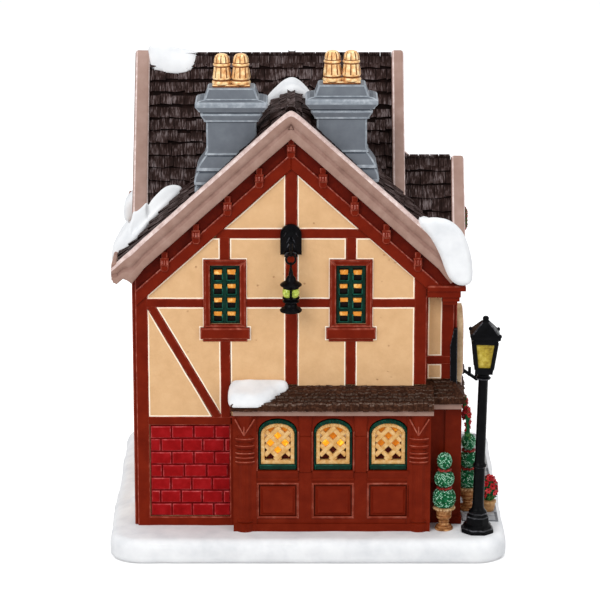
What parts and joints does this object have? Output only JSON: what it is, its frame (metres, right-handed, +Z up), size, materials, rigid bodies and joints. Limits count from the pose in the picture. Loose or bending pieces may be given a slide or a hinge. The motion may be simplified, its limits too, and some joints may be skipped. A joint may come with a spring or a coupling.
{
  "type": "lighted christmas village building",
  "caption": "Half-timbered village house with a cross gable, shopfront, twin chimneys, snow, hanging lantern and street lamp on a snowy base, lit from inside.",
  "frame": {"origin": "middle of the base underside, where the building stands", "axes": "+Z up, the gable end with the shopfront faces -Y, and the street side with the lamp is +X"},
  "size_m": [0.16, 0.148, 0.2043],
  "materials": {
    "snow": "matt white snow paint on the cast base and the roof patches",
    "paving": "matt grey stone paint",
    "stucco": "matt cream stucco paint",
    "timber": "satin red-brown timber paint",
    "joinery": "satin red-brown joinery paint",
    "shingle": "matt dark brown shingle paint with a pale dry brush",
    "stone_trim": "satin grey-pink stone paint",
    "chimney": "satin blue-grey stone paint",
    "gold": "metallic gold paint",
    "brick": "satin crimson brick paint",
    "green": "gloss dark green paint",
    "black": "gloss black paint",
    "lattice": "satin tan paint",
    "foliage": "matt green foliage paint",
    "flower": "matt red flower paint",
    "lantern_glass": "yellow-green lacquer",
    "lamp_glass": "yellow lacquer",
    "sign": "matt tan paint",
    "dark_plastic": "black moulded plastic",
    "white_plastic": "white moulded plastic",
    "steel": "bare steel",
    "led": "amber lens"
  },
  "bodies": {
    "building": {"snow_base": "snow", "ridge_snow": "snow", "saddle_snow": "snow", "valley_snow": "snow", "eave_snow": "snow", "shop_roof_snow": "snow", "street_paving": "paving", "house_shell": "stucco", "gable_end_timbers": "timber", "far_end_timbers": "timber", "yard_side_timbers": "timber", "street_side_timbers": "timber", "shopfront": "joinery", "front_wing_roof": "shingle", "far_wing_roof": "shingle", "cross_roof": "shingle", "bay_roof": "shingle", "shopfront_roof": "shingle", "left_coping": "stone_trim", "right_coping": "stone_trim", "bay_coping": "stone_trim", "front_bargeboard": "stone_trim", "far_bargeboard": "stone_trim", "shop_eave_moulding": "stone_trim", "left_chimney": "chimney", "right_chimney": "chimney", "left_chimney_pots": "gold", "right_chimney_pots": "gold", "brick_panel": "brick", "left_window_sash": "green", "right_window_sash": "green", "far_left_window_sash": "green", "far_right_window_sash": "green", "yard_window_sash": "green", "bay_window_sash": "green", "shop_window_frame_1": "green", "shop_window_frame_2": "green", "shop_window_frame_3": "green", "entrance_door": "green", "shop_lattice_1": "lattice", "shop_lattice_2": "lattice", "shop_lattice_3": "lattice", "lantern_bracket": "black", "street_lamp": "black", "iron_flower_bracket": "black", "street_lamp_glass": "lamp_glass", "near_topiary": "foliage", "far_topiary": "foliage", "potted_poinsettia": "flower", "flower_swag": "flower", "street_sign_board": "sign", "battery_box": "dark_plastic", "lamp_stem": "white_plastic", "warm_led": "led"},
    "battery_hatch": {"battery_cover": "dark_plastic", "cover_screw": "steel"},
    "switch": {"power_switch_knob": "dark_plastic"},
    "hanging_ring": {"lantern_ring": "black"},
    "hanging_lantern": {"lantern_body": "black", "lantern_glass": "lantern_glass"}
  },
  "joints": [
    {"name": "battery_hatch_slide", "type": "slide", "parent": "building", "child": "battery_hatch", "axis": [0, 0, -1], "range_m": [0, 0.02]},
    {"name": "switch_slide", "type": "slide", "parent": "building", "child": "switch", "axis": [1, 0, 0], "range_m": [0, 0.002]},
    {"name": "ring_swing", "type": "hinge", "parent": "building", "child": "hanging_ring", "pos_m": [-0.0068, -0.0623, 0.1255], "axis": [1, 0, 0], "range_deg": [-25, 5]},
    {"name": "lantern_swing", "type": "hinge", "parent": "hanging_ring", "child": "hanging_lantern", "pos_m": [-0.0068, -0.0623, 0.1236], "axis": [0, 1, 0], "range_deg": [-25, 25]}
  ]
}
